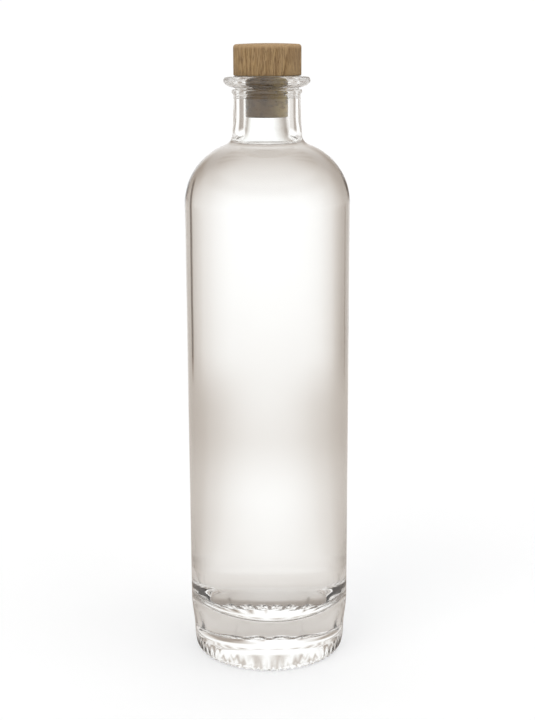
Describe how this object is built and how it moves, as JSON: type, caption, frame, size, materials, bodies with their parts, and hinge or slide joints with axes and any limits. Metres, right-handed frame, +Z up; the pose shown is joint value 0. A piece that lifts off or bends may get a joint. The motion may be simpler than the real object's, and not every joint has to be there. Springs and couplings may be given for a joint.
{
  "type": "stoppered glass spirits bottle",
  "caption": "Clear round glass spirits bottle, filled to the foot of its neck, with a knurled heavy base and a push-in cork stopper under a wooden head.",
  "frame": {"origin": "centre of the ring that the bottle stands on, at the height of the table", "axes": "+Z up along the bottle's axis towards the stopper; +X to the right and -Y towards the viewer in the picture"},
  "size_m": [0.0748, 0.0748, 0.2843],
  "materials": {
    "clear_glass": "fire-polished clear flint glass with a faint grey-green tone where it is thick",
    "clear_liquid": null,
    "natural_cork": "one-piece natural cork, dark lenticels, unsealed",
    "turned_wood": "oak turned along the grain, matt, fine upright strokes and an oval figure on one side"
  },
  "bodies": {
    "bottle": {"glass_bottle": "clear_glass", "liquid": "clear_liquid"},
    "stopper": {"stopper_head": "turned_wood", "stopper_cork": "natural_cork"}
  },
  "joints": [
    {"name": "stopper_pull", "type": "slide", "parent": "bottle", "child": "stopper", "axis": [0, 0, 1], "range_m": [0, 0.04]}
  ]
}
